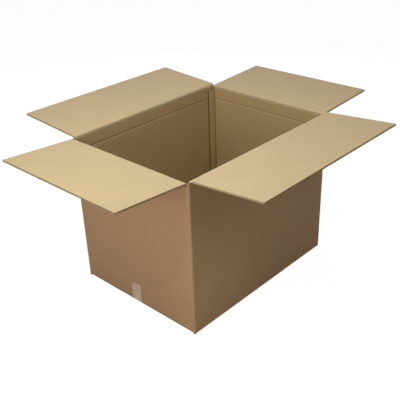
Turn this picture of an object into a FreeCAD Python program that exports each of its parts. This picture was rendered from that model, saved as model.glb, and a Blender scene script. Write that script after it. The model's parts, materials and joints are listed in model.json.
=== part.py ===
"""An open corrugated cardboard box, made of one slotted and creased sheet of double-wall board.

The sheet is folded round four walls and closed by a tab that is glued inside the back right corner.
Its bottom flaps are folded in, the short ones first and the long ones under them, and a strip of tape
holds the long ones together. Its four top flaps stand open and turn on their creases.

Millimetres. The box stands on z = 0, with its length along x and its width along y, centred on the origin.
A section is drawn in the x-z plane for the right-hand side and turned to its own side afterwards.
"""

import FreeCAD
import Part

import math
import os

from FreeCAD import Vector

# Room inside the closed box
inside_length = 800.0
inside_width = 600.0
inside_height = 600.0

# Board, its folds, and the room left between folded layers, beside folded flaps and where long flaps meet
board = 7.0
layer_gap = 0.4
fold_inner_radius = 1.5
flap_clearance = 1.5
seam_gap = 3.0

# Slots between the flaps: how far the upper ones are cut below the inside top, how far off the floor the
# lower ones end, and how far the ends of the upright folds are clear of the top flaps beside them
slot_overcut = 1.0
slot_floor_gap = 3.0
post_clearance = 0.5

# Creases of the top flaps: the turning line lies just outside the wall, and both boards are mitred to it
crease_offset = 0.2
mitre_gap = 0.15
mitre_rounding = 9.0

# How far each top flap is turned up from level, in degrees
front_flap_angle = 4.5
back_flap_angle = 3.6
left_flap_angle = 3.9
right_flap_angle = 2.8

# Second crease round the walls, where the box can be folded to a lower height
score_drop = 50.0
score_width = 9.0
score_depth = 1.2
score_back_width = 6.0
score_back_depth = 0.4

# Glued tab, how far the back wall's cut edge stays short of the right wall's face, and how far the glue
# fills the wedge between that wall and the tab's bend
tab_width = 40.0
tab_end_clearance = 1.0
tab_end_slope = 2.0
joint_setback = 1.0
glue_squeeze = 2.6

# Tape along the bottom seam and up both short walls
tape_width = 50.0
tape_thickness = 0.2
tape_shift = 6.0
left_tape_rise = 94.0
right_tape_rise = 82.0
tape_end_slant = 8.0

# How far a cutting shape reaches past what it cuts, and how closely two places have to match
cut_over = 1.0
match_tolerance = 1e-4

# Outside of the walls
half_length = inside_length / 2 + board
half_width = inside_width / 2 + board
fold_outer_radius = fold_inner_radius + board
flap_inset = board + flap_clearance

# Heights, from the floor up
short_bottom_level = board + layer_gap
inside_floor = short_bottom_level + board
inside_top = inside_floor + inside_height
slot_top = inside_top - slot_overcut
rim_root = inside_top - board
short_crease_height = inside_top + board + crease_offset
long_crease_height = short_crease_height + layer_gap + board
long_step = long_crease_height - short_crease_height
post_top = (short_crease_height + long_crease_height) / 2

# Every flap has the same length, so that the long ones meet along the middle
flap_reach = half_width - seam_gap / 2
flap_length = flap_reach + crease_offset

def side_of_box(turn, is_long, flap_angle):
    """One side: its turn from +x, how far out its wall stands, half its flaps' span and its flap's angle."""
    half = half_width if is_long else half_length
    across = half_length if is_long else half_width
    return {"turn": turn, "long": is_long, "half": half, "span": across - flap_inset, "angle": flap_angle}


sides = {
    "right": side_of_box(0.0, False, right_flap_angle),
    "back": side_of_box(90.0, True, back_flap_angle),
    "left": side_of_box(180.0, False, left_flap_angle),
    "front": side_of_box(270.0, True, front_flap_angle),
}


def turned(shape, degrees):
    """The shape turned about the box's upright middle line."""
    shape.rotate(Vector(0, 0, 0), Vector(0, 0, 1), degrees)
    return shape


def prism(section, y_from, y_to):
    """A closed section of (x, z) points, drawn out along y."""
    points = [Vector(x, y_from, z) for x, z in section]
    face = Part.Face(Part.makePolygon(points + points[:1]))
    return face.extrude(Vector(0, y_to - y_from, 0))


def rounded_block(length, width, radius, z_from, z_to):
    """An upright block centred on the origin, with rounded upright edges."""
    block = Part.makeBox(length, width, z_to - z_from, Vector(-length / 2, -width / 2, z_from))
    upright = [edge for edge in block.Edges if edge.BoundBox.ZLength > match_tolerance]
    return block.makeFillet(radius, upright)


def edges_along_y(solid, x, z):
    """The straight edges of a drawn-out section that pass through (x, z)."""
    found = []
    for edge in solid.Edges:
        ends = [vertex.Point for vertex in edge.Vertexes]
        if len(ends) == 2 and all(math.hypot(p.x - x, p.z - z) < match_tolerance for p in ends):
            found.append(edge)
    return found


def wall_tube():
    """The four walls between the ends of their slots, with the upright folds rounded."""
    outer = rounded_block(2 * half_length, 2 * half_width, fold_outer_radius, slot_floor_gap, slot_top)
    inner = rounded_block(inside_length, inside_width, fold_inner_radius, slot_floor_gap, slot_top)
    return outer.cut(inner)


def with_glued_corner(walls):
    """The back right corner, where the right wall bends inside and the back wall ends in a cut edge."""
    bend_x = half_length - fold_outer_radius
    bend_y = inside_width / 2 - fold_outer_radius
    height = slot_top - slot_floor_gap
    corner = Vector(bend_x, bend_y, slot_floor_gap)
    up = Vector(0, 0, 1)
    space = Part.makeBox(half_length + cut_over - bend_x, half_width + cut_over - bend_y, height, corner)
    bend = Part.makeCylinder(fold_outer_radius, height, corner, up, 90)
    bend = bend.cut(Part.makeCylinder(fold_inner_radius, height, corner, up))
    wall_end = Part.makeBox(
        fold_outer_radius - joint_setback,
        board,
        height,
        Vector(bend_x, inside_width / 2, slot_floor_gap),
    )
    wedge_depth = fold_outer_radius - math.sqrt(fold_outer_radius**2 - glue_squeeze**2)
    glue_depth = 2 * wedge_depth
    glue_start = Vector(bend_x, inside_width / 2 - glue_depth, slot_floor_gap)
    glue = Part.makeBox(glue_squeeze, glue_depth, height, glue_start)
    return walls.cut(space).fuse([bend, wall_end, glue, glued_tab(bend_x)])


def glued_tab(bend_x):
    """The tab from the right wall's edge, lying on the back wall's inner face, with sloping ends."""
    low = inside_floor + tab_end_clearance
    high = inside_top - tab_end_clearance
    free_edge = inside_length / 2 - tab_width
    section = [
        (bend_x, low),
        (bend_x, high),
        (free_edge, high - tab_end_slope),
        (free_edge, low + tab_end_slope),
    ]
    glue_face = inside_width / 2
    return prism(section, glue_face - board, glue_face)


def corner_posts():
    """The ends of the upright folds, which stand up between the top flaps as high as their creases."""
    outer = rounded_block(2 * half_length, 2 * half_width, fold_outer_radius, slot_top, post_top)
    inner = rounded_block(inside_length, inside_width, fold_inner_radius, slot_top, post_top)
    height = post_top - slot_top
    free_x = half_length - flap_inset + post_clearance
    free_y = half_width - flap_inset + post_clearance
    between_x = Part.makeBox(2 * free_x, 2 * half_width, height, Vector(-free_x, -half_width, slot_top))
    between_y = Part.makeBox(2 * half_length, 2 * free_y, height, Vector(-half_length, -free_y, slot_top))
    glued = Part.makeBox(half_length, half_width, height, Vector(0, 0, slot_top))
    wall_end = Part.makeBox(
        half_length - joint_setback - free_x,
        board,
        height,
        Vector(free_x, inside_width / 2, slot_top),
    )
    return outer.cut([inner, between_x, between_y, glued]).Solids + [wall_end]


def bottom_level(side):
    """The underside of a bottom flap: the long ones lie on the floor, the short ones on top of them."""
    return 0.0 if side["long"] else short_bottom_level


def crease_height(side):
    """How high the turning line of a side's top flap lies."""
    return long_crease_height if side["long"] else short_crease_height


def bottom_flap(side):
    """A bottom flap with the bend that joins it to its wall."""
    half = side["half"]
    level = bottom_level(side)
    tip = half - flap_reach
    bend_x = half - fold_outer_radius
    bend_z = level + fold_outer_radius
    diagonal = math.sqrt(0.5)

    def on_bend(radius, x_share, z_share):
        return Vector(bend_x + radius * x_share, -side["span"], bend_z - radius * z_share)

    def corner(x, z):
        return Vector(x, -side["span"], z)

    outer_bend = Part.Arc(
        on_bend(fold_outer_radius, 1, 0),
        on_bend(fold_outer_radius, diagonal, diagonal),
        on_bend(fold_outer_radius, 0, 1),
    )
    inner_bend = Part.Arc(
        on_bend(fold_inner_radius, 0, 1),
        on_bend(fold_inner_radius, diagonal, diagonal),
        on_bend(fold_inner_radius, 1, 0),
    )
    outline = [
        outer_bend.toShape(),
        Part.makeLine(corner(bend_x, level), corner(tip, level)),
        Part.makeLine(corner(tip, level), corner(tip, level + board)),
        Part.makeLine(corner(tip, level + board), corner(bend_x, level + board)),
        inner_bend.toShape(),
        Part.makeLine(corner(half - board, bend_z), corner(half, bend_z)),
    ]
    face = Part.Face(Part.Wire(outline))
    return face.extrude(Vector(0, 2 * side["span"], 0))


def fold_space(side, z_from, z_to):
    """The slice of a wall that its bottom bend or its rim takes the place of."""
    depth = board + 2 * cut_over
    start = Vector(side["half"] - board - cut_over, -side["span"], z_from)
    return Part.makeBox(depth, 2 * side["span"], z_to - z_from, start)


def wall_rim(side):
    """The top of a wall below its flap, mitred up to the turning line at the wall's outer face."""
    half = side["half"]
    outer_z = crease_height(side) - crease_offset - mitre_gap
    inner_z = outer_z - board
    section = [(half, rim_root), (half, outer_z), (half - board, inner_z), (half - board, rim_root)]
    rim = prism(section, -side["span"], side["span"])
    return rim.makeFillet(mitre_rounding, edges_along_y(rim, half - board, inner_z))


def score_groove(centre_x, radius, z, y_from, y_to):
    """A level cylinder that presses a groove into a wall's face where it reaches past that face."""
    return Part.makeCylinder(radius, y_to - y_from, Vector(centre_x, y_from, z), Vector(0, 1, 0))


def groove_radius(width, depth):
    """The radius of a round groove of the given width and depth."""
    return (width**2 / 4 + depth**2) / (2 * depth)


def score_tools(name, side):
    """The second crease of one wall: a groove inside that stops at the tab, and a fainter one outside."""
    inner_half = inside_length / 2 if side["long"] else inside_width / 2
    z = inside_top - score_drop + (long_step if side["long"] else 0.0)
    # Drawn on the right-hand side, the back wall has the tab at negative y, and the right wall at positive y
    inner_from = tab_width - inner_half if name == "back" else -inner_half
    inner_to = inner_half - board if name == "right" else inner_half
    inner_radius = groove_radius(score_width, score_depth)
    inner_x = side["half"] - board - inner_radius + score_depth
    inner = score_groove(inner_x, inner_radius, z, inner_from, inner_to)
    outer_half = inner_half - fold_inner_radius
    outer_radius = groove_radius(score_back_width, score_back_depth)
    outer_x = side["half"] + outer_radius - score_back_depth
    outer = score_groove(outer_x, outer_radius, z, -outer_half, outer_half)
    return [turned(inner, side["turn"]), turned(outer, side["turn"])]


def tape_corner():
    """How high the tape turns off the short wall's face, and the slope from there to the floor.

    The slope runs from the end of the long flaps past the short wall's bend, its own thickness away from it.
    """
    flap_end_x = sides["back"]["span"]
    flap_end = Vector(flap_end_x, 0, tape_thickness)
    bend_centre = Vector(half_length - fold_outer_radius, 0, short_bottom_level + fold_outer_radius)
    to_centre = bend_centre - flap_end
    lean = math.asin((fold_outer_radius + tape_thickness) / to_centre.Length)
    slope = math.atan2(to_centre.z, to_centre.x) - lean
    return tape_thickness + (half_length - flap_end_x) * math.tan(slope), slope


def tape_strip():
    """The tape: flush with the underside of the long bottom flaps and up both short walls."""
    turn_z, slope = tape_corner()
    wall_x = half_length
    outer_x = wall_x + tape_thickness
    outer_z = turn_z - tape_thickness * math.tan((math.pi / 2 - slope) / 2)
    flap_end_x = sides["back"]["span"]
    floor_x = flap_end_x + tape_thickness * math.tan(slope / 2)
    section = [
        (wall_x, right_tape_rise),
        (wall_x, turn_z),
        (flap_end_x, tape_thickness),
        (-flap_end_x, tape_thickness),
        (-wall_x, turn_z),
        (-wall_x, left_tape_rise),
        (-outer_x, left_tape_rise),
        (-outer_x, outer_z),
        (-floor_x, 0.0),
        (floor_x, 0.0),
        (outer_x, outer_z),
        (outer_x, right_tape_rise),
    ]
    y_from = tape_shift - tape_width / 2
    y_to = tape_shift + tape_width / 2
    strip = prism(section, y_from, y_to)
    for start_x, rise in ((wall_x, right_tape_rise), (-wall_x, left_tape_rise)):
        triangle = [
            Vector(start_x - cut_over, y_from, rise),
            Vector(start_x - cut_over, y_to, rise),
            Vector(start_x - cut_over, y_to, rise - tape_end_slant),
        ]
        offcut = Part.Face(Part.makePolygon(triangle + triangle[:1]))
        strip = strip.cut(offcut.extrude(Vector(2 * cut_over, 0, 0)))
    return strip


def folded_sheet(tape):
    """Walls, rims, bottom flaps and glued tab as the one folded sheet that they are."""
    shape = with_glued_corner(wall_tube())
    folds = []
    for side in sides.values():
        foot = fold_space(side, 0, bottom_level(side) + fold_outer_radius)
        head = fold_space(side, rim_root, slot_top + cut_over)
        shape = shape.cut([turned(foot, side["turn"]), turned(head, side["turn"])])
        folds.append(turned(bottom_flap(side), side["turn"]))
        folds.append(turned(wall_rim(side), side["turn"]))
    shape = shape.fuse(folds + corner_posts()).removeSplitter()
    for name, side in sides.items():
        shape = shape.cut(score_tools(name, side))
    return shape.cut(tape).removeSplitter()


def top_flap(side):
    """A top flap standing out from its wall, mitred at its root where the crease is."""
    outer = crease_offset
    inner = crease_offset + board
    section = [
        (outer + mitre_gap, outer),
        (flap_length, outer),
        (flap_length, inner),
        (inner + mitre_gap, inner),
    ]
    flap = prism(section, -side["span"], side["span"])
    flap = flap.makeFillet(mitre_rounding, edges_along_y(flap, inner + mitre_gap, inner))
    flap.rotate(Vector(0, 0, 0), Vector(0, -1, 0), side["angle"])
    flap.translate(Vector(side["half"] + crease_offset, 0, crease_height(side)))
    return turned(flap, side["turn"])


def only_solid(shape, name):
    """The single solid in a shape, so that a piece that fell apart is noticed."""
    if len(shape.Solids) != 1 or not shape.isValid():
        raise ValueError(f"{name} came out as {len(shape.Solids)} solids, valid: {shape.isValid()}")
    return shape.Solids[0]


def build():
    """Every piece of the box by its name."""
    tape = tape_strip()
    pieces = {"bottom_tape": tape, "folded_box": folded_sheet(tape)}
    for name, side in sides.items():
        pieces[f"{name}_top_flap"] = top_flap(side)
    return pieces


os.makedirs("parts", exist_ok=True)
for piece_name, piece in build().items():
    solid = only_solid(piece, piece_name)
    solid.exportStep(f"parts/{piece_name}.step")
    extent = solid.BoundBox
    print(
        f"{piece_name}: {solid.Volume / 1000:.1f} cm3, {len(solid.Faces)} faces, "
        f"x {extent.XMin:.1f} to {extent.XMax:.1f}, y {extent.YMin:.1f} to {extent.YMax:.1f}, "
        f"z {extent.ZMin:.1f} to {extent.ZMax:.1f}"
    )
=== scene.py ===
import json
import math

import bpy
from mathutils import Matrix, Vector


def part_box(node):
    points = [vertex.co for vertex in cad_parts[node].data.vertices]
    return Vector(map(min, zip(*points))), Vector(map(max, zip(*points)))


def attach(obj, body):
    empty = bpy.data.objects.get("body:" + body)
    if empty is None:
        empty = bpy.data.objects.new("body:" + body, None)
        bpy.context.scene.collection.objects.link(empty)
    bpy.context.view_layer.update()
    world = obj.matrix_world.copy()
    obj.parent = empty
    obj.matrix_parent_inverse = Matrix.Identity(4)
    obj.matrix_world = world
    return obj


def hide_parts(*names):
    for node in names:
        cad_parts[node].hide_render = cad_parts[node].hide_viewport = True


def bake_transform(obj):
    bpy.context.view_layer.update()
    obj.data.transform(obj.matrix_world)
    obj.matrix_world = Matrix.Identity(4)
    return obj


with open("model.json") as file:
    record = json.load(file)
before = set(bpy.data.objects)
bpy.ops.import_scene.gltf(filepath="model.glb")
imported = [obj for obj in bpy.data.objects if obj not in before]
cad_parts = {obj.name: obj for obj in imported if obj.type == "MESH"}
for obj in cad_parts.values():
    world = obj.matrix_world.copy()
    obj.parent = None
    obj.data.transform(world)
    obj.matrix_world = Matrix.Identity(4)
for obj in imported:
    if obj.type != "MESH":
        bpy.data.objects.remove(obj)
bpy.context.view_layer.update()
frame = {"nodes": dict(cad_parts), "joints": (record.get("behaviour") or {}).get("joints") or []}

# The camera
# It stands two and a half metres from the near corner, about as high as a person's eyes, and looks down into the
# open box. Its place was fitted to the box's edges in the photograph, as a 36 mm wide frame of 400 by 400 pixels.
camera_azimuth = math.radians(-46.3)
camera_elevation = math.radians(28.75)
camera_roll = math.radians(-2.1)
camera_distance = 2.6515
camera_target = Vector((-0.075, -0.0376, 0.307))

level_back = Vector((math.sin(camera_azimuth), -math.cos(camera_azimuth), 0))
back = level_back * math.cos(camera_elevation) + Vector((0, 0, math.sin(camera_elevation)))
level_right = Vector((math.cos(camera_azimuth), math.sin(camera_azimuth), 0))
level_up = back.cross(level_right)
right = level_right * math.cos(camera_roll) + level_up * math.sin(camera_roll)
up = level_up * math.cos(camera_roll) - level_right * math.sin(camera_roll)

camera_data = bpy.data.cameras.new("camera")
camera_data.sensor_width = 36
camera_data.lens = 58.9
camera_data.shift_x = 0.0008
camera_data.shift_y = 0.018
camera = bpy.data.objects.new("camera", camera_data)
turn = Matrix((right, up, back)).transposed().to_4x4()
camera.matrix_world = Matrix.Translation(camera_target + back * camera_distance) @ turn
bpy.context.scene.collection.objects.link(camera)
bpy.context.scene.camera = camera
bpy.context.scene.view_settings.view_transform = "Standard"


# The kraft board
# The box is cut from one sheet of double-wall board: three brown liners with a coarse and a fine fluting glued
# between them. The liner inside the box is a yellower tan and the one outside is redder. The flaps' tops and the
# inside walls are the same inner liner; the inside walls get a darker, more saturated copy of its colour as painted
# shade, and the sheet's cut edges a dark brown as painted shade.
board = 0.007
liner = 0.0005
flap_colour = (0.37, 0.281, 0.162, 1)
# painted shade: the inner liner's colour, darkened and saturated for the shaded inside walls
painted_shade_inside_colour = (0.335, 0.231, 0.108, 1)
outside_colour = (0.365, 0.224, 0.117, 1)
fluting_colour = (0.50, 0.38, 0.24, 1)
# painted shade: a dark brown for the shade in the open fluting at the sheet's cut edges and in the corner behind the
# tab
painted_shade_cut_colour = (0.13, 0.085, 0.045, 1)
coarse_pitch = 0.0078
fine_pitch = 0.0065


def new_group(name, inputs, outputs):
    """An empty shader node group with named float inputs, given as (name, value), and (name, type) outputs."""
    group = bpy.data.node_groups.new(name, "ShaderNodeTree")
    for socket_name, value in inputs:
        socket = group.interface.new_socket(socket_name, in_out="INPUT", socket_type="NodeSocketFloat")
        socket.default_value = value
    for socket_name, kind in outputs:
        group.interface.new_socket(socket_name, in_out="OUTPUT", socket_type=kind)
    return group, group.nodes.new("NodeGroupInput"), group.nodes.new("NodeGroupOutput")


def math_node(tree, operation, first, second=None, third=None):
    """A Math node fed by sockets or plain numbers; returns its output."""
    node = tree.nodes.new("ShaderNodeMath")
    node.operation = operation
    for index, value in enumerate((first, second, third)):
        if value is None:
            continue
        if isinstance(value, (int, float)):
            node.inputs[index].default_value = value
        else:
            tree.links.new(value, node.inputs[index])
    return node.outputs[0]


def noise_node(tree, vector, scale, detail, roughness=0.5):
    """A Noise Texture's value between about 0.3 and 0.7, on the given vector."""
    node = tree.nodes.new("ShaderNodeTexNoise")
    node.inputs["Scale"].default_value = scale
    node.inputs["Detail"].default_value = detail
    node.inputs["Roughness"].default_value = roughness
    tree.links.new(vector, node.inputs["Vector"])
    return node.outputs["Fac"]


def range_node(tree, value, low, high, to_low=0.0, to_high=1.0):
    """Spreads a value from low..high onto to_low..to_high, held at both ends."""
    node = tree.nodes.new("ShaderNodeMapRange")
    tree.links.new(value, node.inputs["Value"])
    node.inputs["From Min"].default_value = low
    node.inputs["From Max"].default_value = high
    node.inputs["To Min"].default_value = to_low
    node.inputs["To Max"].default_value = to_high
    return node.outputs["Result"]


def stretched(tree, vector, across, along):
    """The sheet's own coordinates, squeezed so that a pattern is longer one way than the other."""
    node = tree.nodes.new("ShaderNodeMapping")
    node.inputs["Scale"].default_value = (across, along, 1)
    tree.links.new(vector, node.inputs["Vector"])
    return node.outputs["Vector"]


# Pulp: short fibres that lie mostly along the paper machine's run, dark flecks of bark and soft cloudy blotches
pulp, pulp_in, pulp_out = new_group(
    "pulp",
    [("Fleck", 1.0), ("Cloud", 1.0)],
    [("Shade", "NodeSocketFloat"), ("Height", "NodeSocketFloat")],
)
sheet_place = pulp.nodes.new("ShaderNodeUVMap")
sheet_place.uv_map = "sheet"
run = sheet_place.outputs["UV"]
fibre = noise_node(pulp, stretched(pulp, run, 1.0, 2.6), 520, 5, 0.65)
long_fibre = noise_node(pulp, stretched(pulp, run, 1.0, 7.0), 140, 3, 0.6)
speck = range_node(pulp, noise_node(pulp, stretched(pulp, run, 1.0, 1.8), 310, 2), 0.66, 0.76)
cloud = noise_node(pulp, run, 9, 4, 0.55)
broad = noise_node(pulp, run, 2.3, 2, 0.5)
fibre_shade = range_node(pulp, fibre, 0.25, 0.75, 0.93, 1.07)
streak_shade = range_node(pulp, long_fibre, 0.25, 0.75, 0.955, 1.045)
cloud_size = math_node(pulp, "MULTIPLY", pulp_in.outputs["Cloud"], 0.16)
cloud_step = math_node(pulp, "MULTIPLY", math_node(pulp, "SUBTRACT", cloud, 0.5), cloud_size)
broad_step = math_node(pulp, "MULTIPLY", math_node(pulp, "SUBTRACT", broad, 0.5), cloud_size)
speck_step = math_node(pulp, "MULTIPLY", math_node(pulp, "MULTIPLY", speck, pulp_in.outputs["Fleck"]), 0.22)
shade = math_node(pulp, "MULTIPLY", fibre_shade, streak_shade)
shade = math_node(pulp, "ADD", shade, math_node(pulp, "ADD", cloud_step, broad_step))
shade = math_node(pulp, "SUBTRACT", shade, speck_step)
pulp.links.new(shade, pulp_out.inputs["Shade"])
pulp.links.new(math_node(pulp, "ADD", fibre, math_node(pulp, "MULTIPLY", long_fibre, 0.6)), pulp_out.inputs["Height"])

# Washboard: the liner sinks a little between the tips of the fluting under it, more in some places than others.
# The Shade output paints this into the colour as painted shade, darker in the troughs and lighter on the crests,
# and adds broad faint streaks along the fluting.
washboard, washboard_in, washboard_out = new_group(
    "washboard",
    [("Pitch", coarse_pitch), ("Streak", 0.1)],
    [("Shade", "NodeSocketFloat"), ("Height", "NodeSocketFloat")],
)
sheet_place = washboard.nodes.new("ShaderNodeUVMap")
sheet_place.uv_map = "sheet"
run = sheet_place.outputs["UV"]
split = washboard.nodes.new("ShaderNodeSeparateXYZ")
washboard.links.new(run, split.inputs[0])
waver = math_node(washboard, "MULTIPLY", noise_node(washboard, run, 14, 1), 0.0012)
place = math_node(washboard, "ADD", split.outputs["X"], waver)
turns = math_node(washboard, "DIVIDE", place, washboard_in.outputs["Pitch"])
wave = math_node(washboard, "SINE", math_node(washboard, "MULTIPLY", turns, 2 * math.pi))
patches = noise_node(washboard, stretched(washboard, run, 1.0, 0.12), 26, 3)
strength = range_node(washboard, patches, 0.4, 0.66, 0.25, 1.0)
ripple = math_node(washboard, "MULTIPLY", wave, strength)
streak = noise_node(washboard, stretched(washboard, run, 1.0, 0.05), 42, 3, 0.6)
streak_step = math_node(washboard, "SUBTRACT", streak, 0.5)
streak_shade = math_node(washboard, "MULTIPLY_ADD", streak_step, washboard_in.outputs["Streak"], 1.0)
# painted shade: the colour is darkened in the ripple's troughs and lightened on its crests
ripple_shade = math_node(washboard, "MULTIPLY_ADD", ripple, 0.022, 1.0)
washboard.links.new(math_node(washboard, "MULTIPLY", ripple_shade, streak_shade), washboard_out.inputs["Shade"])
washboard.links.new(ripple, washboard_out.inputs["Height"])


def kraft(name, colour, pitch, fleck, cloud_share, streak_share, ripple_depth, fibre_depth, roughness):
    """A kraft liner: its pulp varies the colour at random, its washboard adds painted shade along the ripples, and
    both roughen the surface.
    """
    material = bpy.data.materials.new(name)
    material.use_nodes = True
    tree = material.node_tree
    shader = tree.nodes["Principled BSDF"]
    shader.inputs["Specular IOR Level"].default_value = 0.08
    pulp_node = tree.nodes.new("ShaderNodeGroup")
    pulp_node.node_tree = pulp
    pulp_node.inputs["Fleck"].default_value = fleck
    pulp_node.inputs["Cloud"].default_value = cloud_share
    washboard_node = tree.nodes.new("ShaderNodeGroup")
    washboard_node.node_tree = washboard
    washboard_node.inputs["Pitch"].default_value = pitch
    washboard_node.inputs["Streak"].default_value = streak_share
    both = math_node(tree, "MULTIPLY", pulp_node.outputs["Shade"], washboard_node.outputs["Shade"])
    tint = tree.nodes.new("ShaderNodeVectorMath")
    tint.operation = "SCALE"
    tint.inputs[0].default_value = colour[:3]
    tree.links.new(both, tint.inputs["Scale"])
    tree.links.new(tint.outputs["Vector"], shader.inputs["Base Color"])
    tree.links.new(range_node(tree, pulp_node.outputs["Shade"], 0.8, 1.2, roughness + 0.06, roughness - 0.06),
                   shader.inputs["Roughness"])
    ripple_bump = tree.nodes.new("ShaderNodeBump")
    ripple_bump.inputs["Distance"].default_value = ripple_depth
    tree.links.new(washboard_node.outputs["Height"], ripple_bump.inputs["Height"])
    fibre_bump = tree.nodes.new("ShaderNodeBump")
    fibre_bump.inputs["Distance"].default_value = fibre_depth
    tree.links.new(pulp_node.outputs["Height"], fibre_bump.inputs["Height"])
    tree.links.new(ripple_bump.outputs["Normal"], fibre_bump.inputs["Normal"])
    tree.links.new(fibre_bump.outputs["Normal"], shader.inputs["Normal"])
    return material


kraft_flaps = kraft(
    "kraft_flaps", flap_colour, coarse_pitch,
    fleck=0.8, cloud_share=0.7, streak_share=0.05, ripple_depth=0.00005, fibre_depth=0.00003, roughness=0.78,
)
# The inner liner with painted shade: a darker, more saturated copy of the flaps' liner for the inside walls
kraft_inside = kraft(
    "kraft_inside", painted_shade_inside_colour, coarse_pitch,
    fleck=0.8, cloud_share=0.7, streak_share=0.16, ripple_depth=0.00005, fibre_depth=0.00003, roughness=0.78,
)
kraft_outside = kraft(
    "kraft_outside", outside_colour, fine_pitch,
    fleck=1.0, cloud_share=0.8, streak_share=0.03, ripple_depth=0.00004, fibre_depth=0.00003, roughness=0.74,
)
# Painted shade for cut edges and the corner behind the tab: a dark copy of the kraft
kraft_shaded_cut = kraft(
    "kraft_shaded_cut", painted_shade_cut_colour, coarse_pitch,
    fleck=0.5, cloud_share=0.5, streak_share=0.1, ripple_depth=0.0, fibre_depth=0.00003, roughness=0.85,
)
kraft_fluting = kraft(
    "kraft_fluting", fluting_colour, coarse_pitch,
    fleck=0.5, cloud_share=0.5, streak_share=0.1, ripple_depth=0.0, fibre_depth=0.00003, roughness=0.85,
)


def alone(piece):
    """Deselects everything and makes the piece the selected, active one."""
    bpy.ops.object.select_all(action="DESELECT")
    piece.select_set(True)
    bpy.context.view_layer.objects.active = piece


def apply_modifier(piece, kind, **settings):
    """Adds a modifier with its settings and applies it."""
    alone(piece)
    modifier = piece.modifiers.new(kind.lower(), kind)
    for key, value in settings.items():
        setattr(modifier, key, value)
    bpy.ops.object.modifier_apply(modifier=modifier.name)


# The folded sheet
# Four walls, the glued tab, the bottom flaps and the rims under the top creases are one creased sheet. It keeps
# the modelled form; its folds are smoothed, its faces are told apart by liner, with painted shade on the inside
# liner and the cut edges, and the fluting runs up the walls.
tip_strip = 0.014
bottom_gap = 0.0004
sheet = bpy.data.objects.new("kraft_sheet", frame["nodes"]["folded_box"].data.copy())
bpy.context.scene.collection.objects.link(sheet)
sheet_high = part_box("folded_box")[1]
half_length = sheet_high.x
box_middle = Vector((0, 0, sheet_high.z / 2))

alone(sheet)
bpy.ops.object.mode_set(mode="EDIT")
bpy.ops.mesh.select_all(action="SELECT")
bpy.ops.mesh.remove_doubles(threshold=0.00001)
bpy.ops.object.mode_set(mode="OBJECT")


def liner_behind(piece, centre, normal):
    """Whether a face has one or two boards' thickness behind it, so that it is a liner and not a cut edge."""
    start = centre - normal * 0.0001
    hit, place, _, _ = piece.ray_cast(start, -normal, distance=0.0155)
    depth = (place - centre).length if hit else 1.0
    return hit and (0.0045 < depth < 0.0085 or 0.0135 < depth < 0.0145)


def lay_out(piece):
    """Gives a face its liner, with painted shade on the inside liner and on cut edges, and its place on the
    sheet: across the fluting first, then along it.
    """
    for material in (kraft_inside, kraft_outside, kraft_shaded_cut):
        piece.data.materials.append(material)
    kinds = []
    for face in piece.data.polygons:
        outward = face.normal.dot(face.center - box_middle) > 0
        if not liner_behind(piece, face.center, face.normal):
            # a cut edge gets the dark painted shade colour
            kinds.append(2)
        else:
            # an inward face gets the inner liner's painted shade copy
            kinds.append(1 if outward else 0)
    for face, kind in zip(piece.data.polygons, kinds):
        face.material_index = kind
    layer = piece.data.uv_layers.new(name="sheet")
    for face in piece.data.polygons:
        on_long_flap = face.center.z < board + bottom_gap / 2
        level = abs(face.normal.z) > 0.8
        for corner in face.loop_indices:
            place = piece.data.vertices[piece.data.loops[corner].vertex_index].co
            if level:
                across, along = (place.x, place.y) if on_long_flap else (place.y, place.x)
            elif abs(face.normal.x) > abs(face.normal.y):
                across, along = place.y, place.z
            else:
                across, along = place.x, place.z
            layer.data[corner].uv = (across, along)


while sheet.data.uv_layers:
    sheet.data.uv_layers.remove(sheet.data.uv_layers[0])
sheet.data.materials.clear()
lay_out(sheet)
bpy.context.view_layer.update()
alone(sheet)
bpy.ops.object.shade_smooth_by_angle(angle=math.radians(28))
apply_modifier(sheet, "WEIGHTED_NORMAL", keep_sharp=True, weight=100)
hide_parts("folded_box")
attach(sheet, "box")


# The top flaps
# Each is the same board, cut square at its three free edges, where the ends of the two flutings show between the
# liners. Its root is mitred at the crease. The short ones turn lower, so that the long ones close over them.
middle_liner = 0.0004
fine_height = 0.0023
medium = 0.0003
core_setback = 0.0025
flute_steps = 8
joints = {joint["child"]: joint for joint in frame["joints"]}
crease_offset = joints["right_flap"]["pos_m"][0] - half_length
mitre_gap = 0.00015
rounding_reach = 0.0111
shoulder_foot_x = 0.00471
shoulder_foot_z = 0.00456


def slab(name, low, high, material):
    """A plain block of board or liner between two corners."""
    low, high = Vector(low), Vector(high)
    bpy.ops.object.select_all(action="DESELECT")
    bpy.ops.mesh.primitive_cube_add(size=1, location=(low + high) / 2)
    piece = bpy.context.object
    piece.name = name
    piece.scale = high - low
    bpy.ops.object.transform_apply(location=True, rotation=True, scale=True)
    piece.data.materials.append(material)
    return piece


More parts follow.
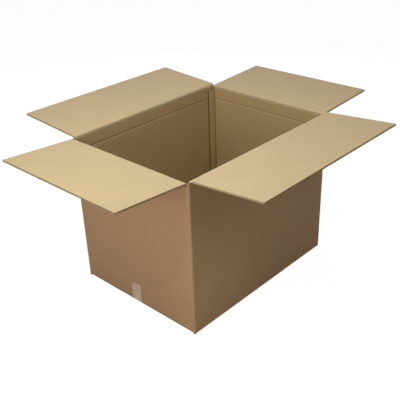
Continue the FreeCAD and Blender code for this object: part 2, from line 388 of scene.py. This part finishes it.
def fluting(name, x_from, x_to, half_span, floor, ceiling, pitch):
    """Wavy paper between two liners: one wave is drawn out by extruding an edge, then repeated and thickened."""
    swing = (ceiling - floor - medium) / 2
    middle = (ceiling + floor) / 2
    bpy.ops.object.select_all(action="DESELECT")
    bpy.ops.mesh.primitive_plane_add(size=1, location=((x_from + x_to) / 2, -half_span, middle + swing))
    piece = bpy.context.object
    piece.name = name
    piece.scale = (x_to - x_from, pitch / flute_steps, 1)
    bpy.ops.object.transform_apply(location=True, rotation=True, scale=True)
    bpy.ops.object.mode_set(mode="EDIT")
    bpy.ops.mesh.select_all(action="DESELECT")
    bpy.ops.object.mode_set(mode="OBJECT")
    for vertex in piece.data.vertices:
        vertex.select = vertex.co.y > -half_span
    bpy.ops.object.mode_set(mode="EDIT")
    bpy.ops.mesh.delete(type="VERT")
    bpy.ops.mesh.select_all(action="SELECT")
    for step in range(flute_steps):
        before = math.cos(2 * math.pi * step / flute_steps)
        after = math.cos(2 * math.pi * (step + 1) / flute_steps)
        rise = swing * (after - before)
        bpy.ops.mesh.extrude_region_move(TRANSFORM_OT_translate={"value": (0, pitch / flute_steps, rise)})
    bpy.ops.object.mode_set(mode="OBJECT")
    count = math.ceil(2 * half_span / pitch) + 1
    apply_modifier(piece, "ARRAY", count=count, use_relative_offset=False, use_constant_offset=True,
                   constant_offset_displace=(0, pitch, 0), use_merge_vertices=True, merge_threshold=0.00001)
    apply_modifier(piece, "SOLIDIFY", thickness=medium, offset=0)
    slice_off(piece, (0, half_span, 0), (0, -1, 0))
    piece.data.materials.append(kraft_fluting)
    return piece


def slice_off(piece, place, keep_side):
    """Cuts everything behind a plane off a piece and closes the cut."""
    alone(piece)
    bpy.ops.object.mode_set(mode="EDIT")
    bpy.ops.mesh.select_all(action="SELECT")
    bpy.ops.mesh.bisect(plane_co=place, plane_no=keep_side, use_fill=True, clear_inner=True)
    bpy.ops.object.mode_set(mode="OBJECT")


def join(pieces, name):
    """Joins finished parts into one piece, the first one's mesh carrying the rest."""
    bpy.ops.object.select_all(action="DESELECT")
    for piece in pieces:
        piece.select_set(True)
    bpy.context.view_layer.objects.active = pieces[0]
    bpy.ops.object.join()
    joined = bpy.context.object
    joined.name = name
    return joined


def sheet_places(piece):
    """The place on the sheet of a flat board whose fluting runs along x."""
    while piece.data.uv_layers:
        piece.data.uv_layers.remove(piece.data.uv_layers[0])
    layer = piece.data.uv_layers.new(name="sheet")
    for corner in piece.data.loops:
        place = piece.data.vertices[corner.vertex_index].co
        layer.data[corner.index].uv = (place.y, place.x + place.z)


def board_layers(name, x_from, x_to, half_span, floor, core_to):
    """Liners over the whole board, a core that fills it, and open fluting along its free edge."""
    top = floor + board
    fine_top = floor + liner + fine_height
    coarse_floor = fine_top + middle_liner
    low_y, high_y = -half_span, half_span
    parts = [
        slab(name, (x_from, low_y, top - liner), (x_to, high_y, top), kraft_flaps),
        slab("outer_liner", (x_from, low_y, floor), (x_to, high_y, floor + liner), kraft_outside),
        slab("middle_liner", (core_to, low_y, fine_top), (x_to, high_y, coarse_floor), kraft_fluting),
        slab(
            "core",
            (x_from, low_y + core_setback, floor + liner / 2),
            (core_to + 0.001, high_y - core_setback, top - liner / 2),
            kraft_fluting,
        ),
        fluting("fine", core_to, x_to, half_span, floor + liner, fine_top, fine_pitch),
        fluting("coarse", core_to, x_to, half_span, coarse_floor, top - liner, coarse_pitch),
    ]
    if core_to - x_from > 0.02:
        for side in (-1, 1):
            near, far = sorted((side * half_span, side * (half_span - core_setback * 2)))
            low, high = (x_from, near, fine_top), (core_to, far, coarse_floor)
            parts.append(slab("side_liner", low, high, kraft_fluting))
    return join(parts, name)


def flap_board(name, half_span, reach):
    """One top flap, lying level with its crease on the y axis."""
    floor = crease_offset
    top = floor + board
    flap = board_layers(name, floor, reach, half_span, floor, reach - tip_strip)
    slice_off(flap, (mitre_gap, 0, 0), (1, 0, -1))
    shoulder = Vector((rounding_reach, 0, top))
    slice_off(flap, shoulder, (top - shoulder_foot_z, 0, -(rounding_reach - shoulder_foot_x)))
    sheet_places(flap)
    return flap


def side_place(name):
    """The turn of a side about z, and the matrix that carries its level flap to where it stands."""
    joint = joints[f"{name}_flap"]
    place = Vector(joint["pos_m"])
    rise = math.radians(180 - joint["range_deg"][1])
    turn = {"right": 0.0, "back": 90.0, "left": 180.0, "front": 270.0}[name]
    spin = Matrix.Rotation(math.radians(turn), 4, "Z")
    reach = math.hypot(place.x, place.y)
    to_crease = spin @ Matrix.Translation((reach, 0, place.z))
    return to_crease, rise


flap_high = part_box("right_top_flap")[1]
_, right_rise = side_place("right")
flap_reach = (flap_high.x - half_length - crease_offset + crease_offset * math.sin(right_rise)) / math.cos(right_rise)
short_span = flap_high.y
long_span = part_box("back_top_flap")[1].x
level_flaps = {short_span: flap_board("short_flap", short_span, flap_reach)}
level_flaps[long_span] = flap_board("long_flap", long_span, flap_reach)

for name in ("right", "back", "left", "front"):
    level = level_flaps[long_span if name in ("back", "front") else short_span]
    flap = bpy.data.objects.new(f"{name}_flap_board", level.data.copy())
    bpy.context.scene.collection.objects.link(flap)
    to_crease, rise = side_place(name)
    flap.data.transform(to_crease @ Matrix.Rotation(-rise, 4, "Y"))
    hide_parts(f"{name}_top_flap")
    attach(flap, f"{name}_flap")
for level in level_flaps.values():
    bpy.data.objects.remove(level)


# The creases
# A crease is a line where the board was pressed thin before folding. With the flap open, the board rolls over it on
# the inner side, and on the outer side its liner is nipped into the corner below the flap.
roll_radii = {"right": 0.009, "back": 0.009, "left": 0.014, "front": 0.014}
roll_depth = 0.0045
roll_reach = rounding_reach
nip_radius = 0.003
nip_depth = 0.0009
nip_reach = 0.0035
crease_steps = 12
lead = 0.002
lead_dip = 0.0004
proud = 0.00005
end_inset = 0.0001
roll_give = 0.010
nip_give = 0.0022


def extrude_by(offset):
    """Extrudes the selected edge of the mesh in edit mode."""
    bpy.ops.mesh.extrude_region_move(TRANSFORM_OT_translate={"value": offset})


def crease_strip(name, rise, half_span, face, reach, radius, depth, material):
    """The bent board on one side of a crease, level with its turning line on the y axis.

    face is how far its surface lies from the turning line, reach how far it runs up the wall and out on the flap,
    and depth its thickness, outwards if above zero. Both its ends sink into the board they lie on.
    """
    outwards = math.copysign(1, depth)
    bend = math.pi / 2 - rise
    corner_z = face * (1 - math.sin(rise)) / math.cos(rise)
    tangent = radius * math.tan(bend / 2)
    bpy.ops.object.select_all(action="DESELECT")
    bpy.ops.mesh.primitive_plane_add(size=1, location=(-face, 0, -reach - lead / 2), rotation=(0, math.pi / 2, 0))
    strip = bpy.context.object
    strip.name = name
    strip.scale = (lead, 2 * half_span, 1)
    bpy.ops.object.transform_apply(location=True, rotation=True, scale=True)
    for vertex in strip.data.vertices:
        vertex.select = vertex.co.z < -reach - lead / 2
    for edge in strip.data.edges:
        edge.select = all(strip.data.vertices[index].select for index in edge.vertices)
    for polygon in strip.data.polygons:
        polygon.select = False
    bpy.ops.object.mode_set(mode="EDIT")
    bpy.ops.transform.translate(value=(outwards * lead_dip, 0, 0))
    bpy.ops.mesh.select_all(action="INVERT")
    extrude_by((0, 0, corner_z - tangent + reach))
    centre = Vector((-face + radius, 0, corner_z - tangent))
    bpy.ops.mesh.spin(steps=crease_steps, angle=bend, center=centre, axis=(0, -1, 0))
    out_along = Vector((math.cos(rise), 0, math.sin(rise)))
    into_flap = Vector((math.sin(rise), 0, -math.cos(rise))) * outwards
    extrude_by(out_along * (reach - tangent + face * math.cos(rise) - corner_z * math.sin(rise)))
    extrude_by(out_along * lead + into_flap * lead_dip)
    bpy.ops.object.mode_set(mode="OBJECT")
    if strip.data.polygons[0].normal.x * outwards > 0:
        strip.data.flip_normals()
    apply_modifier(strip, "SOLIDIFY", thickness=abs(depth), offset=-1)
    bpy.ops.object.shade_smooth_by_angle(angle=math.radians(40))
    strip.data.materials.append(material)
    strip.data.materials.append(kraft_fluting)
    for polygon in strip.data.polygons:
        polygon.material_index = 1 if abs(polygon.normal.y) > 0.9 else 0
    sheet_places(strip)
    return strip


def give_way(strip):
    """Bakes a strip's transform into its mesh. It does not bend the strip with a side's flap."""
    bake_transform(strip)


for name in ("right", "back", "left", "front"):
    half_span = (long_span if name in ("back", "front") else short_span) - end_inset
    to_crease, rise = side_place(name)
    inner_face = crease_offset + board + proud
    outer_face = crease_offset - proud
    roll = crease_strip(f"{name}_crease_roll", rise, half_span, inner_face, roll_reach, roll_radii[name], roll_depth,
                        kraft_flaps)
    nip = crease_strip(f"{name}_crease_nip", rise, half_span, outer_face, nip_reach, nip_radius, -nip_depth,
                       kraft_outside)
    for strip, give in ((roll, roll_give), (nip, nip_give)):
        strip.data.transform(to_crease)
        give_way(strip)


# The head of the glued tab
# The tab runs up to the back crease, where it was pressed flat with the rest of the board when the crease was made.
head_low = Vector((0.360, 0.2987, 0.6105))
head_high = Vector((0.392, 0.3015, 0.6278))
head_rounding = 0.0009
# The head takes the inner liner's painted shade copy, like the inside walls
head = slab("tab_head", head_low, head_high, kraft_inside)
apply_modifier(head, "BEVEL", width=head_rounding, segments=3)
bpy.ops.object.shade_smooth_by_angle(angle=math.radians(40))
sheet_places(head)
give_way(head)


# The painted shade in the corner behind the tab
# Where the tab folds round the corner, the inner liner is crushed and the corner lies in shade, which in the
# photograph is a narrow dark line from top to bottom. Here a thin fillet of liner in the dark painted shade colour
# fills the corner.
shade_fillet_low = Vector((0.3981, 0.2911, 0.0160))
shade_fillet_high = Vector((0.4003, 0.2933, 0.6125))
shade_fillet_rounding = 0.0007
# painted shade: a dark fillet for the shade in the corner
shade_fillet = slab("corner_groove", shade_fillet_low, shade_fillet_high, kraft_shaded_cut)
apply_modifier(shade_fillet, "BEVEL", width=shade_fillet_rounding, segments=3)
bpy.ops.object.shade_smooth_by_angle(angle=math.radians(40))
sheet_places(shade_fillet)
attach(shade_fillet, "box")


# The tape
# A strip of clear packing tape, 50 mm wide, closes the long bottom flaps and runs up both short walls. It lies
# flat on the board, which shows through it a little, and makes it look paler and greyer.
tape_dull = (0.49, 0.37, 0.25, 1)
tape_pale = (0.62, 0.50, 0.36, 1)
wrinkle_depth = 0.00004
noise_low, noise_high = 0.35, 0.65
tape = frame["nodes"]["bottom_tape"]
clear_tape = bpy.data.materials.new("clear_tape")
clear_tape.use_nodes = True
tape_tree = clear_tape.node_tree
tape_shader = tape_tree.nodes["Principled BSDF"]
tape_place = tape_tree.nodes.new("ShaderNodeTexCoord").outputs["Object"]
streaks = noise_node(tape_tree, stretched(tape_tree, tape_place, 1.0, 9.0), 30, 3, 0.6)
wrinkle = noise_node(tape_tree, tape_place, 60, 2, 0.5)
bubble = noise_node(tape_tree, tape_place, 150, 3, 0.55)
tape_tint = tape_tree.nodes.new("ShaderNodeMix")
tape_tint.data_type = "RGBA"
tape_tint.inputs["A"].default_value = tape_dull
tape_tint.inputs["B"].default_value = tape_pale
dullness = range_node(tape_tree, streaks, noise_low, noise_high)
satin = range_node(tape_tree, bubble, noise_low, noise_high, 0.36, 0.5)
cover = range_node(tape_tree, wrinkle, noise_low, noise_high, 0.7, 0.85)
tape_tree.links.new(dullness, tape_tint.inputs["Factor"])
tape_tree.links.new(tape_tint.outputs["Result"], tape_shader.inputs["Base Color"])
tape_tree.links.new(satin, tape_shader.inputs["Roughness"])
tape_tree.links.new(cover, tape_shader.inputs["Alpha"])
tape_bump = tape_tree.nodes.new("ShaderNodeBump")
tape_bump.inputs["Distance"].default_value = wrinkle_depth
tape_tree.links.new(math_node(tape_tree, "MULTIPLY_ADD", wrinkle, 0.7, streaks), tape_bump.inputs["Height"])
tape_tree.links.new(tape_bump.outputs["Normal"], tape_shader.inputs["Normal"])
tape.data.materials.clear()
tape.data.materials.append(clear_tape)


# The studio
# A plain white floor and surround. Soft lamps stand low on the left, above the left flap, above the box, in front,
# and behind for the far walls. The floor shows nearly white to the camera and keeps a faint shadow.
floor_size = 30
floor_drop = 0.0005
paper_brightness = 1.09
paper_share = 0.88
bpy.ops.object.select_all(action="DESELECT")
bpy.ops.mesh.primitive_plane_add(size=floor_size, location=(0, 0, -floor_drop))
floor = bpy.context.object
floor.name = "floor"
floor_material = bpy.data.materials.new("floor")
floor_material.use_nodes = True
floor_tree = floor_material.node_tree
floor_shader = floor_tree.nodes["Principled BSDF"]
floor_shader.inputs["Base Color"].default_value = (0.88, 0.88, 0.88, 1)
floor_shader.inputs["Roughness"].default_value = 0.9
paper_white = floor_tree.nodes.new("ShaderNodeEmission")
paper_white.inputs["Strength"].default_value = paper_brightness
seen = floor_tree.nodes.new("ShaderNodeLightPath")
shown = math_node(floor_tree, "MAXIMUM", seen.outputs["Is Camera Ray"], seen.outputs["Is Transmission Ray"])
shown = math_node(floor_tree, "MAXIMUM", shown, seen.outputs["Is Glossy Ray"])
share = math_node(floor_tree, "MULTIPLY", shown, paper_share)
blend = floor_tree.nodes.new("ShaderNodeMixShader")
floor_tree.links.new(share, blend.inputs["Fac"])
floor_tree.links.new(floor_shader.outputs[0], blend.inputs[1])
floor_tree.links.new(paper_white.outputs[0], blend.inputs[2])
floor_tree.links.new(blend.outputs[0], floor_tree.nodes["Material Output"].inputs["Surface"])
floor.data.materials.append(floor_material)

world = bpy.data.worlds.new("studio")
world.use_nodes = True
bpy.context.scene.world = world
sky = world.node_tree
light_path = sky.nodes.new("ShaderNodeLightPath")
surround = sky.nodes["Background"]
surround.inputs["Color"].default_value = (1, 1, 1, 1)
shown = math_node(sky, "MAXIMUM", light_path.outputs["Is Camera Ray"], light_path.outputs["Is Transmission Ray"])
shown = math_node(sky, "MAXIMUM", shown, light_path.outputs["Is Glossy Ray"])
ambient = 0.06
sky.links.new(math_node(sky, "MULTIPLY_ADD", shown, 1 - ambient, ambient), surround.inputs["Strength"])

for name, place, aim, size, power in (
    ("lamp_left", (-2.45, -0.4, 0.95), (0, 0, 0.4), 1.1, 23),
    ("lamp_over_left", (-0.9, -0.15, 1.8), (0, 0, 0.4), 0.8, 17),
    ("lamp_above", (0, 0, 2.3), (0, 0, 0.4), 1.0, 22),
    ("lamp_front", (0, -2.2, 2.3), (0, 0, 0.4), 1.5, 16),
    ("lamp_behind", (2.1, 2.3, 1.0), (0, 0, 0.3), 1.5, 34),
):
    lamp_data = bpy.data.lights.new(name, "AREA")
    lamp_data.shape = "SQUARE"
    lamp_data.size = size
    lamp_data.energy = power
    lamp = bpy.data.objects.new(name, lamp_data)
    turn = (Vector(aim) - Vector(place)).to_track_quat("-Z", "Y").to_matrix().to_4x4()
    lamp.matrix_world = Matrix.Translation(place) @ turn
    bpy.context.scene.collection.objects.link(lamp)

bpy.context.view_layer.update()
